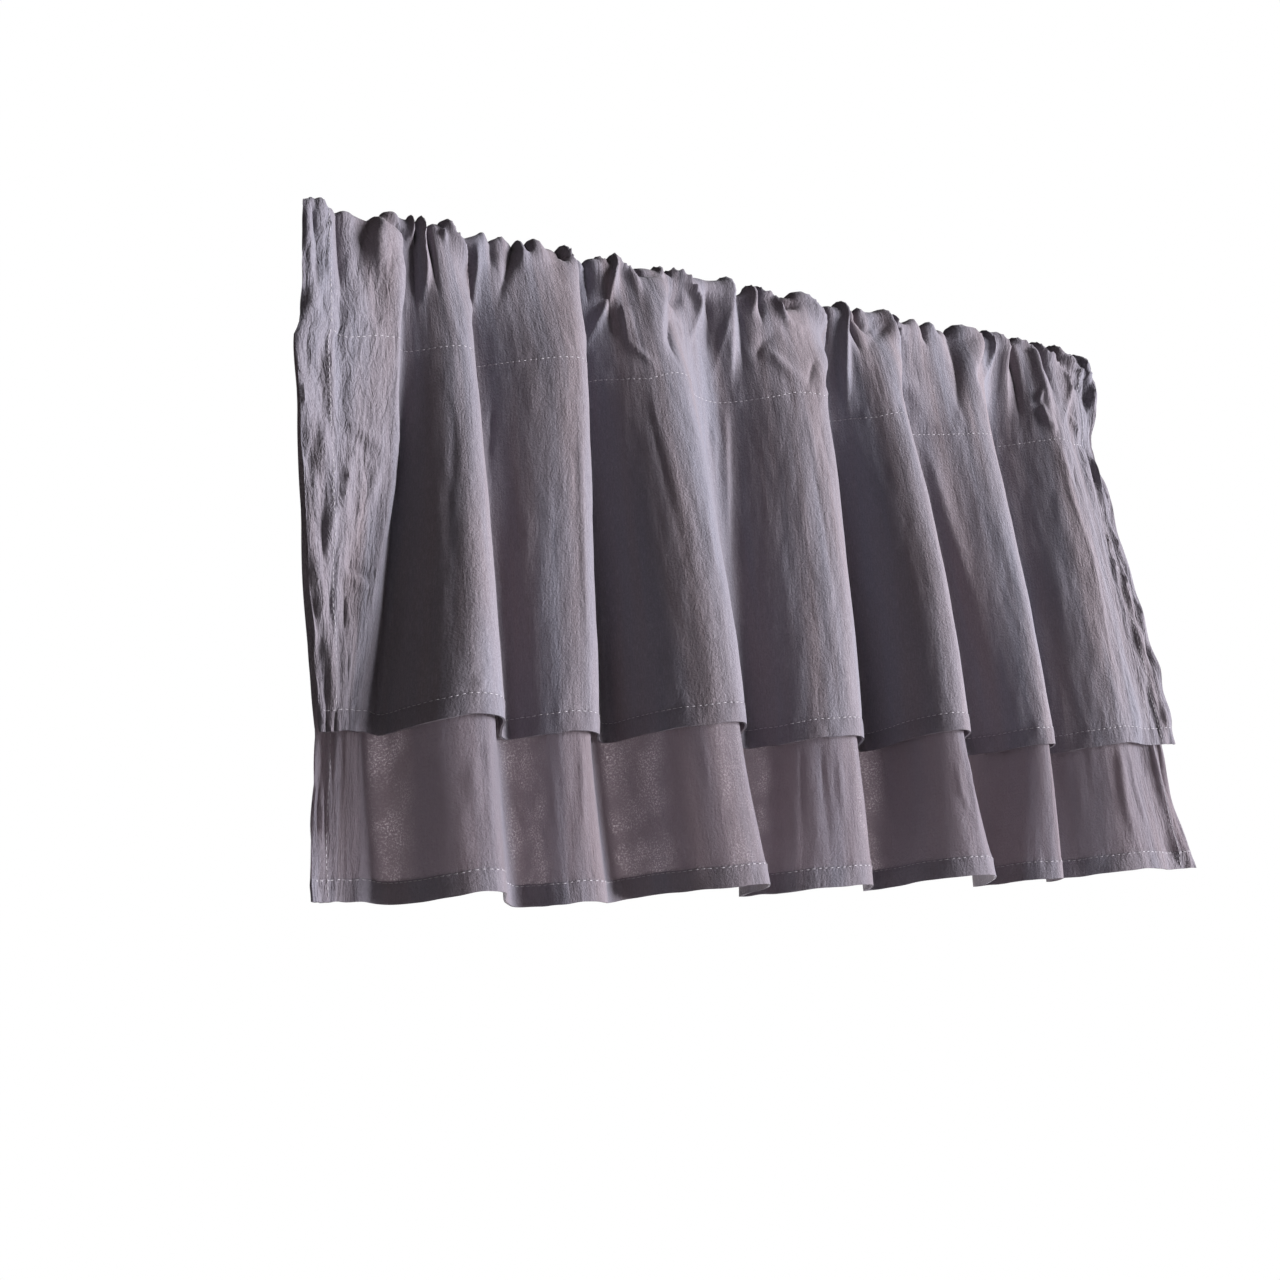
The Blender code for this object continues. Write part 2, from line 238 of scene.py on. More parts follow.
# Creases on the front face, in millimetres from the left edge and down from
# the rod. Each has its height off the cloth (a trough's is below 0), its width to the left
# and to the right, and its route. One that starts above the rod line runs on over the rod.
pocketCreases = [
    # left side hem and the flat piece beside it
    (3.0, 3, 15, (0, -8), (0, 40), (0, 90), (0, 140), (2, 200), (2, 270), (4, 360)),
    (-3.6, 2.4, 1.8, (23, -8), (24, 30), (24, 60), (22, 100), (19, 140), (16, 180)),
    (-1.6, 1.8, 1.8, (4, -8), (5, 3), (7, 40), (6, 83)),
    (2.6, 3, 2, (14, -8), (14, 3), (18, 16), (14, 53), (9, 80)),
    (2.0, 2, 2.5, (20, 13), (10, 33)),
    (1.4, 2, 2, (21, 40), (18, 73), (16, 87)),
    (-5.5, 9, 4, (43, -8), (46, 5), (38, 33), (29, 73)),
    (1.8, 1.6, 1.6, (46, 5), (49, 32), (49, 59)),
    (6.5, 4, 9, (54, -8), (54, 0), (51, 25), (57, 73)),
    (-5.0, 2.6, 2.6, (53, -8), (55, 3), (67, 12), (72, 17)),
    (3.4, 5, 2.4, (62, 25), (63, 54), (63, 87)),
    (-6.0, 4, 4, (75, 10), (75, 38), (77, 67)),
    # tight pleats on the second fold
    (4.6, 1.8, 1.8, (74, -8), (74, 7), (74, 20)),
    (-5.5, 1.6, 1.6, (76, -8), (76, 10), (77, 22)),
    (5.4, 2.2, 2.2, (81, -8), (82, 12), (84, 36), (79, 63)),
    (-6.0, 2.2, 2.2, (86, -8), (85, 12), (90, 60)),
    (4.8, 2.0, 2.0, (95, -8), (95, 5), (94, 19)),
    (-5.5, 1.7, 1.7, (95, -8), (95, 5), (97, 11)),
    (6.0, 8, 2.4, (99, -8), (101, 3), (110, 37), (109, 72), (115, 92)),
    (-4.0, 1.8, 1.8, (105, -8), (107, 3), (112, 10)),
    (2.8, 1.4, 1.4, (105, -4), (111, 1), (118, 15)),
    # pleats between the second and third fold
    (3.4, 1.8, 2.6, (121, 0), (121, 11), (121, 29), (115, 77)),
    (4.0, 2.5, 2.5, (126, -8), (126, 5)),
    (-3.0, 3.0, 3.0, (130, -8), (131, 7), (130, 31)),
    (3.0, 2.5, 2.5, (139, -8), (140, 5)),
    (-5.0, 2.2, 2.2, (149, -8), (148, 3), (142, 21), (137, 39), (132, 55)),
    (3.2, 3, 3, (151, -8), (152, 10), (151, 27)),
    (-4.6, 2.0, 2.0, (157, -8), (157, 14)),
    (4.8, 6, 3.5, (164, -8), (164, 3), (169, 21)),
    (-6.0, 1.8, 1.8, (180, -8), (183, 5), (182, 16)),
    (5.6, 8, 2.2, (185, -8), (188, 10), (188, 69), (204, 81)),
    (4.2, 1.4, 1.4, (187, -8), (189, 0), (195, 13)),
    (-5.0, 3.0, 3.0, (202, -8), (204, 11), (206, 39)),
    (5.4, 2.0, 2.6, (227, -8), (226, 1), (217, 38), (200, 74), (204, 81)),
    (2.6, 1.3, 1.3, (213, -8), (216, 1), (223, 7)),
    (-4.4, 3, 3, (219, 17), (219, 41), (222, 67)),
    # the third fold's hump, the dark hollow beside it and the swag over it
    (4.4, 4, 1.6, (224, -8), (227, 0), (238, 14), (241, 33)),
    (-5.0, 1.6, 1.6, (238, -8), (246, 7), (249, 13)),
    (2.4, 1.3, 8, (227, 33), (231, 77)),
    (6.0, 13, 2.6, (255, 3), (261, 13), (257, 28), (251, 61), (252, 90)),
    (2.8, 1.2, 1.2, (237, -6), (243, 3), (254, 9)),
    (4.0, 1.5, 1.5, (256, -8), (264, 0), (258, 12)),
    (-9.0, 4.5, 4.5, (258, 25), (272, 24), (283, 18)),
    (-3.5, 2.0, 2.0, (271, -8), (271, 5)),
    (2.6, 6, 1.5, (257, 40), (271, 35)),
    (-4.5, 2.6, 2.6, (262, 41), (259, 65), (261, 87)),
    (2.2, 1.8, 1.8, (229, 67), (238, 78), (244, 85), (248, 79)),
    (5.8, 3, 2.0, (268, -8), (273, -2), (289, 9), (295, 20), (290, 40), (281, 62)),
    (3.0, 3, 2, (269, 40), (278, 67)),
    (-4.0, 2.6, 2.6, (298, 7), (305, 28), (302, 65)),
    # the small fold before the fourth
    (5.6, 7, 1.8, (321, -2), (322, 7), (322, 41), (320, 89)),
    (1.6, 1.8, 1.8, (323, 13), (317, 38), (304, 85)),
    (2.4, 1.2, 1.2, (316, -8), (323, 7)),
    (-5.5, 2.6, 5, (332, -8), (329, 23), (327, 86)),
    (4.4, 2.2, 2.2, (339, -8), (343, 5), (337, 25)),
    (-3.5, 1.8, 1.8, (345, -8), (346, 10), (344, 35)),
    # the fourth fold's pleats, with the hooked swag
    (5.4, 2.0, 2.0, (347, -8), (348, 3), (359, 9), (363, 26), (375, 32), (385, 22)),
    (-6.5, 3.2, 3.2, (364, -8), (366, 7), (373, 10), (381, 15)),
    (4.6, 2.2, 2.2, (359, -8), (363, 5), (367, 10)),
    (6.0, 9, 2.4, (382, -8), (388, 0), (396, 9), (402, 31), (397, 47), (383, 85), (407, 79)),
    (-3.5, 1.7, 1.7, (375, -8), (377, 5)),
    (3.4, 1.3, 1.3, (403, -8), (405, 13), (404, 31)),
    (-3.4, 4, 4, (336, 64), (344, 45), (360, 39)),
    (3.4, 5, 4, (346, 53), (356, 70), (371, 85)),
    (-2.4, 1.6, 1.6, (382, 58), (373, 77), (370, 90)),
    (-4.0, 1.8, 1.8, (408, -8), (409, 21), (407, 49)),
    # pleats before and on the fifth fold
    (4.8, 3.5, 2.0, (424, -8), (426, 7), (426, 27), (425, 91)),
    (-5.5, 2.2, 2.2, (432, -8), (431, 17), (437, 45)),
    (3.0, 2.0, 2.0, (435, -8), (437, 7)),
    (-5.0, 2.2, 2.2, (438, -8), (438, 7), (443, 16), (450, 13), (455, 3)),
    (-3.4, 6, 6, (467, 9), (446, 27), (437, 45)),
    (4.0, 2.6, 2.6, (443, -8), (445, 3)),
    (5.6, 11, 2.2, (464, -8), (467, 5), (467, 15), (469, 33), (462, 67), (462, 90)),
    (-4.0, 1.5, 1.5, (472, -8), (474, 3)),
    (3.6, 1.3, 1.3, (476, -8), (475, 7), (469, 33)),
    # the soft ridge and the pleats of the sixth fold
    (4.0, 5, 7, (476, 14), (472, 40), (483, 51), (494, 57), (505, 90)),
    (3.2, 1.4, 1.4, (471, -6), (478, 9), (492, 22)),
    (-3.6, 2.4, 2.4, (483, -8), (487, 7)),
    (3.0, 3, 3, (496, -8), (497, 5)),
    (-3.8, 2.2, 2.2, (503, -8), (504, 9), (506, 21)),
    (3.0, 3, 3, (512, -8), (513, 9)),
    (-3.4, 2.2, 2.2, (520, -8), (520, 10)),
    (-6.0, 4, 4, (531, -8), (531, 10), (531, 47), (525, 86)),
    (6.0, 8, 2.2, (538, -8), (546, 0), (558, 5), (556, 20), (545, 39), (548, 54), (554, 76), (557, 91)),
    (-4.6, 1.6, 1.6, (561, -8), (561, 14), (553, 34)),
    (4.0, 1.5, 1.5, (571, -8), (571, 19), (553, 49)),
    (4.8, 6, 1.8, (577, -8), (585, 3), (589, 11), (588, 40), (587, 78)),
    (-6.5, 3.0, 3.0, (595, -8), (594, 13), (595, 46), (593, 82)),
    # the deep valley close behind each fold's right edge
    (-3.5, 2.2, 5, (109, -8), (114, 12), (117, 50), (120, 92), (122, 150), (122, 190)),
    (-3.5, 2.2, 5, (193, -8), (197, 20), (200, 60), (203, 92), (202, 150), (200, 190)),
    (-3.0, 2.2, 5, (401, -8), (406, 20), (407, 60), (404, 92), (401, 150), (398, 190)),
    (-3.0, 2.2, 5, (472, -8), (476, 20), (480, 50), (482, 92), (484, 150), (484, 190)),
    (-3.0, 2.2, 5, (564, 30), (568, 60), (573, 92), (574, 150), (574, 190)),
    # crossing ridges on the last fold
    (5.2, 4, 1.7, (603, -8), (606, 0), (615, 7), (616, 32), (617, 54), (614, 83)),
    (3.2, 1.4, 1.4, (607, 61), (613, 49), (616, 56)),
    (3.6, 2.4, 3, (609, 58), (614, 91)),
    (-5.0, 2.2, 2.2, (620, -8), (626, 18), (627, 43), (620, 68)),
    (5.2, 2.0, 2.0, (624, -8), (631, 10), (645, 16), (645, 43), (627, 74), (619, 90)),
    (2.0, 1.4, 1.4, (614, 79), (616, 86)),
    (3.6, 2.2, 2.2, (636, 63), (646, 90)),
    (-4.6, 2.2, 2.2, (638, -8), (648, 25), (661, 44), (652, 72)),
    (5.0, 1.9, 1.9, (645, -8), (650, 7), (663, 20), (675, 29), (660, 65), (647, 89)),
    (-3.4, 2.0, 2.0, (670, -8), (677, 10)),
    (3.0, 2.0, 2.0, (673, -8), (672, 44), (659, 87)),
]
frontCreases = [
    # crumples beside the left edge
    (3.6, 2.6, 2.2, (20, 153), (29, 157), (40, 163), (52, 171)),
    (-3.0, 3, 3, (22, 161), (38, 171), (50, 180)),
    (4.2, 2.2, 2.0, (23, 170), (26, 189), (23, 202), (18, 219), (9, 236)),
    (3.2, 2.0, 2.0, (25, 197), (21, 227)),
    (3.0, 2.2, 2.2, (34, 180), (34, 206), (27, 242)),
    (2.8, 2.2, 2.2, (45, 180), (39, 216)),
    (-4.0, 2.4, 2.4, (19, 245), (33, 251), (41, 259)),
    (3.8, 2.6, 2.4, (20, 249), (35, 259), (46, 269)),
    (-3.6, 1.9, 1.9, (21, 249), (23, 268), (22, 298)),
    (-2.2, 1.5, 1.5, (9, 153), (11, 240), (13, 279), (14, 337)),
    (3.0, 2, 2, (17, 99), (19, 135), (15, 166)),
    (-1.8, 2, 2, (9, 99), (11, 144)),
    (3.0, 2, 2, (29, 272), (26, 304), (22, 338)),
    (2.4, 5, 5, (59, 99), (58, 135), (57, 177), (48, 225), (42, 259), (29, 308), (19, 338)),
    # second to fourth fold
    (2.0, 1.5, 1.5, (87, 328), (92, 333), (95, 333)),
    (-1.6, 6, 6, (86, 111), (91, 150), (84, 206), (78, 271), (74, 324)),
    (-1.8, 1.4, 1.4, (131, 111), (128, 145), (125, 184)),
    (1.6, 1.5, 4, (180, 119), (177, 197), (174, 276), (172, 346)),
    (-0.8, 1.6, 1.6, (234, 96), (238, 144), (240, 191), (243, 235), (247, 271), (251, 297)),
    (0.8, 1.6, 6, (239, 96), (241, 161), (246, 213)),
    (-0.7, 1.6, 1.6, (245, 131), (251, 196), (253, 235), (253, 275), (256, 310)),
    (-0.9, 1.5, 1.5, (254, 109), (258, 157)),
    (1.1, 1.5, 1.6, (260, 187), (260, 235), (261, 269)),
    (0.9, 1.5, 1.5, (256, 275), (262, 287)),
    (-2.2, 1.5, 1.5, (203, 272), (203, 346)),
    (4.0, 6, 1.8, (320, 85), (317, 102), (311, 167), (306, 227)),
    (1.8, 1.6, 1.6, (307, 96), (300, 174)),
    (-0.8, 1.6, 1.6, (362, 119), (365, 189), (365, 258), (366, 307)),
    (0.8, 1.6, 6, (365, 98), (368, 197)),
    (-0.7, 1.6, 1.6, (368, 128), (370, 167)),
    (-0.9, 1.5, 1.5, (374, 105), (378, 166)),
    # sixth and last fold
    (3.2, 6, 7, (501, 90), (510, 155), (520, 229), (524, 281)),
    (1.8, 3, 3, (611, 91), (614, 102), (616, 150), (619, 180), (620, 219), (618, 281), (616, 328)),
    (1.8, 2.2, 2.2, (646, 90), (642, 96), (642, 135), (637, 170)),
    (-2.0, 6, 6, (625, 111), (624, 150)),
    (1.2, 1.4, 1.4, (616, 111), (620, 137)),
    (1.2, 1.4, 1.4, (618, 124), (623, 154)),
    (2.0, 1.6, 1.6, (654, 135), (646, 202), (646, 258), (649, 324)),
    (2.0, 1.6, 1.6, (657, 148), (653, 210), (652, 266), (657, 333)),
]
backCreases = [
    (1.6, 1.6, 1.6, (8, 345), (5, 450)),
    (1.4, 1.6, 1.6, (11, 347), (10, 444)),
    (1.2, 4, 4, (86, 370), (88, 413)),
    (1.6, 3, 3, (94, 345), (97, 450)),
    (1.6, 2.5, 2.5, (168, 341), (167, 432)),
    (-1.5, 1.6, 1.6, (337, 347), (325, 432)),
    (-1.5, 1.6, 1.6, (346, 347), (340, 438)),
    (1.4, 1.6, 1.6, (355, 354), (352, 420)),
    (1.6, 1.6, 1.6, (442, 363), (444, 394), (454, 420)),
    (1.8, 3, 3, (450, 351), (452, 407), (455, 450)),
    (3.0, 3, 4, (615, 347), (613, 402), (619, 439)),
    (2.0, 2, 2, (623, 347), (624, 396), (639, 450)),
    (1.6, 1.7, 1.7, (649, 347), (651, 407), (659, 450)),
]
# x ranges of the back tier where it hangs clear and the light comes through; there its colour is also painted
# paler, as painted light
sheerZones = ((40, 59), (125, 148), (200, 227), (251, 317), (363, 417))
relief = {
    "rise": 2.6,         # how far the gathers stand off the rod
    "riseReach": 55.0,
    "bulge": (0.0, 0.02, 0.02, 0.04, 0.03, 0.04, 0.02, 0.02),   # each fold's left flank, by its depth
    "crinkle": 0.9,
    "tallest": 8.5,      # where the creases together level off
    "rodLift": 0.5,      # how much higher they are near the rod, most at this drop
    "rodLiftDrop": 11,
    "rodLiftReach": 15,
    "stitchGroove": 0.35,
    "hemWave": 0.9,
}


def bend(route, steps=4):
    # A soft curve through a crease's route, as short straight runs
    points = np.array([route[0], *route, route[-1]], dtype=float)
    curve = []
    for a, b, c, d in zip(points, points[1:], points[2:], points[3:]):
        for f in np.arange(steps) / steps:
            curve.append(0.5 * (2 * b + (c - a) * f + (2 * a - 5 * b + 4 * c - d) * f ** 2
                                + (3 * b - a - 3 * c + d) * f ** 3))
    return np.array([*curve, points[-1]])


def creaseRelief(cloth, creases):
    # Height off the cloth at every column and row. A route's points are found on the cloth by
    # their x, so each crease lies where it was placed however the folds run.
    wide, drops, xs, gather = cloth
    total = np.zeros(xs.shape)
    fromLift = (drops - relief["rodLiftDrop"]) / relief["rodLiftReach"]
    nearRod = 1 + relief["rodLift"] * np.exp(-fromLift ** 2)
    for height, left, right, *route in creases:
        curve = bend(route)
        rows = np.interp(curve[:, 1], drops, np.arange(len(drops)))
        for number, row in enumerate(rows):
            line = np.maximum.accumulate(xs[:, int(round(row))]) + wide * 1e-6
            curve[number, 0] = np.interp(curve[number, 0], line, wide)
        reach = 2.8 * max(left, right)
        low, high = curve.min(0), curve.max(0)
        nearRows = np.where((drops > low[1] - reach) & (drops < high[1] + reach))[0]
        near = np.where((wide > low[0] - reach / 0.6) & (wide < high[0] + reach / 0.6))[0]
        if not len(near) or not len(nearRows):
            continue
        w, d, r = wide[near][:, None], drops[nearRows][None], gather[nearRows][None]
        runs = np.linalg.norm(np.diff(curve, axis=0), axis=1)
        whole, passed = runs.sum(), 0.0
        fromTop = route[0][1] < 0
        sharpness = 1.05 if height < 0 else 1.25 if max(left, right) < 3.1 else 1.7
        nearest = np.full((len(near), len(nearRows)), 1e9)
        found = np.zeros(nearest.shape)
        for (w1, d1), (w2, d2), run in zip(curve, curve[1:], runs):
            dw, dd = (w2 - w1) * r, d2 - d1
            share = np.clip(((w - w1) * r * dw + (d - d1) * dd) / np.maximum(dw ** 2 + dd ** 2, 1e-9), 0, 1)
            side = (w - w1) * r - share * dw
            away = np.hypot(side, d - d1 - share * dd)
            place = (passed + share * run) / whole
            width = np.where(side < 0, left, right) * (0.8 + 0.6 * place)
            strength = smooth((1 - place) / 0.55) * (1.0 if fromTop else smooth(place / 0.3))
            value = height * strength * np.exp(-(away / width) ** sharpness)
            closer = away < nearest
            found = np.where(closer, value, found)
            nearest = np.where(closer, away, nearest)
            passed += run
        total[np.ix_(near, nearRows)] += found * (1.0 if height > 0 else nearRod[nearRows][None])
    return relief["tallest"] * np.tanh(total * nearRod[None] / relief["tallest"])


def crinkle(shape, steps, sizes, seed):
    # Soft random relief of even strength, its wrinkles of the given size across and along
    noise = np.random.default_rng(seed).normal(size=shape)
    fx, fy = (np.fft.fftfreq(n, step)[:, None] for n, step in zip(shape, steps))
    keep = np.exp(-2 * math.pi ** 2 * ((fx * sizes[0]) ** 2 + (fy.T * sizes[1]) ** 2))
    soft = np.fft.ifft2(np.fft.fft2(noise) * keep).real
    return soft / soft.std()


def outwards(grid):
    # Square to the strip, away from the rod: to the viewer in front, to the wall behind
    down, across = np.gradient(grid, axis=1), np.gradient(grid, axis=0)
    square = np.cross(across, -down)
    return square / np.linalg.norm(square, axis=-1, keepdims=True)


def makeSheet(name, places, wide, path, material, hemAt):
    # A grid of the cloth's own columns and rows, with UVs in metres and doubled hems
    columns, rows = places.shape[:2]
    shape = bmesh.new()
    shape.loops.layers.uv.new("cloth")
    bmesh.ops.create_grid(shape, x_segments=columns - 1, y_segments=rows - 1, size=0.5, calc_uvs=True)
    mesh = bpy.data.meshes.new(name)
    shape.to_mesh(mesh)
    shape.free()
    flatPlaces = np.empty(len(mesh.vertices) * 3)
    mesh.vertices.foreach_get("co", flatPlaces)
    flatPlaces = flatPlaces.reshape(-1, 3)
    column = np.rint((flatPlaces[:, 0] + 0.5) * (columns - 1)).astype(int)
    row = np.rint((0.5 - flatPlaces[:, 1]) * (rows - 1)).astype(int)
    mesh.vertices.foreach_set("co", (places[column, row] * mm).ravel())
    corners = np.empty(len(mesh.loops), dtype=int)
    mesh.loops.foreach_get("vertex_index", corners)
    uv = np.stack([wide[column[corners]] * mm, path[row[corners]] * mm], axis=1)
    mesh.uv_layers["cloth"].data.foreach_set("uv", uv.ravel())
    mesh.materials.append(material)
    mesh.shade_smooth()
    mesh.update()
    piece = bpy.data.objects.new(name, mesh)
    bpy.context.scene.collection.objects.link(piece)
    layers = piece.vertex_groups.new(name="layers")
    hemWidth = curtain["sideHem"]
    doubled = (wide[column] < hemWidth) | (wide[column] > wide[-1] - hemWidth)
    doubled |= np.abs(path[row]) > hemAt
    layers.add(np.where(doubled)[0].tolist(), 1.0, "REPLACE")
    layers.add(np.where(~doubled)[0].tolist(), curtain["oneLayer"] / curtain["hemLayers"], "REPLACE")
    thickness = piece.modifiers.new("thickness", "SOLIDIFY")
    thickness.thickness = curtain["hemLayers"] * mm
    thickness.offset = 0.0
    thickness.vertex_group = "layers"
    return piece, column


def giveThickness(piece):
    # Applies the Solidify, so that only the cut edges of the cloth are left sharp
    ready = piece.evaluated_get(bpy.context.evaluated_depsgraph_get())
    mesh = bpy.data.meshes.new_from_object(ready)
    mesh.set_sharp_from_angle(angle=math.radians(curtain["cutAngle"]))
    piece.modifiers.clear()
    piece.vertex_groups.clear()
    piece.data = mesh
    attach(piece, "root")


# Materials

def mixColour(tree, factor, first, second, blendType="MIX"):
    node = tree.nodes.new("ShaderNodeMix")
    node.data_type = "RGBA"
    node.blend_type = blendType
    colourInputs = [s for s in node.inputs if s.type == "RGBA"]
    for socket, value in ((node.inputs[0], factor), (colourInputs[0], first), (colourInputs[1], second)):
        if isinstance(value, bpy.types.NodeSocket):
            tree.links.new(value, socket)
        else:
            socket.default_value = value
    return [s for s in node.outputs if s.type == "RGBA"][0]


def math2(tree, operation, first, second=0.0):
    node = tree.nodes.new("ShaderNodeMath")
    node.operation = operation
    for socket, value in zip(node.inputs, (first, second)):
        if isinstance(value, bpy.types.NodeSocket):
            tree.links.new(value, socket)
        else:
            socket.default_value = value
    return node.outputs[0]


def stretched(tree, place, scale, detail=2.0, roughness=0.55, distortion=0.0):
    # Noise whose grain is scale per metre across and along the cloth
    mapping = tree.nodes.new("ShaderNodeMapping")
    mapping.inputs["Scale"].default_value = (scale[0], scale[1], 1.0)
    tree.links.new(place, mapping.inputs["Vector"])
    noise = tree.nodes.new("ShaderNodeTexNoise")
    noise.inputs["Scale"].default_value = 1.0
    noise.inputs["Detail"].default_value = detail
    noise.inputs["Roughness"].default_value = roughness
    noise.inputs["Distortion"].default_value = distortion
    tree.links.new(mapping.outputs["Vector"], noise.inputs["Vector"])
    return noise.outputs["Fac"]


def ramp(tree, value, low, high, outLow=0.0, outHigh=1.0):
    node = tree.nodes.new("ShaderNodeMapRange")
    tree.links.new(value, node.inputs["Value"])
    for name, number in (("From Min", low), ("From Max", high), ("To Min", outLow), ("To Max", outHigh)):
        node.inputs[name].default_value = number
    return node.outputs["Result"]


cotton = {
    "cool": (0.185, 0.176, 0.212, 1),
    "warm": (0.205, 0.165, 0.180, 1),
    "dark": (0.105, 0.090, 0.108, 1),
    "pale": (0.360, 0.330, 0.360, 1),
    "through": (0.40, 0.32, 0.36, 1),
    "throughShare": 0.10,
    "backThrough": (0.58, 0.51, 0.55, 1),
    "backThroughShare": 0.40,
    "holeThrough": (0.90, 0.86, 0.88, 1),
    "holeThroughShare": 0.84,
    "threadsPerMetre": 2200.0,
}


def cottonMaterial(name, hemFrom, sheerAndPaintedLight):
    material = bpy.data.materials.new(name)
    material.use_nodes = True
    tree = material.node_tree
    shader = tree.nodes["Principled BSDF"]
    output = tree.nodes["Material Output"]
    uvNode = tree.nodes.new("ShaderNodeUVMap")
    uvNode.uv_map = "cloth"
    place = uvNode.outputs["UV"]
    split = tree.nodes.new("ShaderNodeSeparateXYZ")
    tree.links.new(place, split.inputs["Vector"])
    fromRod = math2(tree, "ABSOLUTE", split.outputs["Y"])
    # warm and cool streaks down the cloth, then slubs and a mottle
    streaks = ramp(tree, stretched(tree, place, (34, 3.0), 3.0), 0.36, 0.64)
    colour = mixColour(tree, streaks, cotton["cool"], cotton["warm"])
    slubs = ramp(tree, stretched(tree, place, (1300, 160), 2.0), 0.45, 0.78)
    colour = mixColour(tree, math2(tree, "MULTIPLY", slubs, 0.35), colour, cotton["pale"])
    grain = ramp(tree, stretched(tree, place, (900, 620), 2.0, 0.7), 0.40, 0.64)
    colour = mixColour(tree, math2(tree, "MULTIPLY", grain, 0.34), colour, cotton["dark"])
    mottle = ramp(tree, stretched(tree, place, (9, 5), 3.0), 0.3, 0.7)
    colour = mixColour(tree, math2(tree, "MULTIPLY", mottle, 0.20), colour, cotton["dark"])
    # doubled hems are a little deeper in colour
    inHem = math2(tree, "GREATER_THAN", fromRod, hemFrom)
    colour = mixColour(tree, math2(tree, "MULTIPLY", inHem, 0.25), colour, cotton["dark"])
    if sheerAndPaintedLight:
        zone = tree.nodes.new("ShaderNodeAttribute")
        zone.attribute_name = "sheerAndPaintedLight"
        holes = ramp(tree, stretched(tree, place, (1000, 760), 2.0, 0.85), 0.50, 0.62)
        patches = ramp(tree, stretched(tree, place, (70, 45), 3.0), 0.40, 0.62, 0.15, 1.0)
        holes = math2(tree, "MULTIPLY", holes, patches)
        thinAndPaintedLight = math2(tree, "MULTIPLY", zone.outputs["Fac"], ramp(tree, holes, 0.0, 1.0, 0.10, 1.0))
        thinAndPaintedLight = math2(tree, "MULTIPLY", thinAndPaintedLight, math2(tree, "SUBTRACT", 1.0, inHem))
        # painted light: where light comes through the holes in the sheer zones, the base colour is painted
        # pale
        colour = mixColour(tree, math2(tree, "MULTIPLY", thinAndPaintedLight, 0.6), colour, cotton["pale"])
    tree.links.new(colour, shader.inputs["Base Color"])
    rough = ramp(tree, stretched(tree, place, (300, 120), 2.0), 0.3, 0.7, 0.80, 0.96)
    tree.links.new(rough, shader.inputs["Roughness"])
    shader.inputs["Specular IOR Level"].default_value = 0.25
    shader.inputs["Sheen Weight"].default_value = 0.10
    shader.inputs["Sheen Roughness"].default_value = 0.45
    # crinkle in three sizes, then the threads themselves
    weaveX = tree.nodes.new("ShaderNodeTexWave")
    weaveY = tree.nodes.new("ShaderNodeTexWave")
    weaveX.bands_direction, weaveY.bands_direction = "X", "Y"
    for wave in (weaveX, weaveY):
        wave.inputs["Scale"].default_value = cotton["threadsPerMetre"] / 20
        wave.inputs["Distortion"].default_value = 2.0
        tree.links.new(place, wave.inputs["Vector"])
    threads = math2(tree, "MULTIPLY", weaveX.outputs["Fac"], weaveY.outputs["Fac"])
    fromRight = math2(tree, "SUBTRACT", curtain["flatWidth"], split.outputs["X"])
    fromEdge = math2(tree, "MINIMUM", split.outputs["X"], fromRight)
    atEdge = ramp(tree, fromEdge, 0.024, 0.075, 1.0, 0.12)
    wrinkles = math2(tree, "MULTIPLY", stretched(tree, place, (300, 65), 3.0, 0.6, 0.6), atEdge)
    layers = (
        (wrinkles, 0.0026),
        (stretched(tree, place, (190, 75), 2.0, 0.55, 0.5), 0.0006),
        (stretched(tree, place, (760, 520), 3.0, 0.7, 0.4), 0.0006),
        (threads, 0.00006),
    )
    normal = None
    for height, distance in layers:
        bump = tree.nodes.new("ShaderNodeBump")
        bump.inputs["Strength"].default_value = 1.0
        bump.inputs["Distance"].default_value = distance
        tree.links.new(height, bump.inputs["Height"])
        if normal:
            tree.links.new(normal, bump.inputs["Normal"])
        normal = bump.outputs["Normal"]
    tree.links.new(normal, shader.inputs["Normal"])
    glow = tree.nodes.new("ShaderNodeBsdfTranslucent")
    glow.inputs["Color"].default_value = cotton["through"]
    tree.links.new(normal, glow.inputs["Normal"])
    both = tree.nodes.new("ShaderNodeMixShader")
    both.inputs["Fac"].default_value = cotton["throughShare"]
    if sheerAndPaintedLight:
        glowColour = mixColour(tree, thinAndPaintedLight, cotton["backThrough"], cotton["holeThrough"])
        tree.links.new(glowColour, glow.inputs["Color"])
        share = ramp(tree, thinAndPaintedLight, 0.0, 1.0, cotton["backThroughShare"], cotton["holeThroughShare"])
        share = math2(tree, "MULTIPLY", share, ramp(tree, inHem, 0.0, 1.0, 1.0, 0.4))
        # it lets as little light through as the pocket where the front tier hangs before it
        clearOfFront = ramp(tree, fromRod, 0.325, 0.352)
        share = math2(tree, "MULTIPLY", share, clearOfFront)
        share = math2(tree, "MAXIMUM", share, cotton["throughShare"])
        tree.links.new(share, both.inputs["Fac"])
    tree.links.new(shader.outputs["BSDF"], both.inputs[1])
    tree.links.new(glow.outputs["BSDF"], both.inputs[2])
    tree.links.new(both.outputs["Shader"], output.inputs["Surface"])
    return material


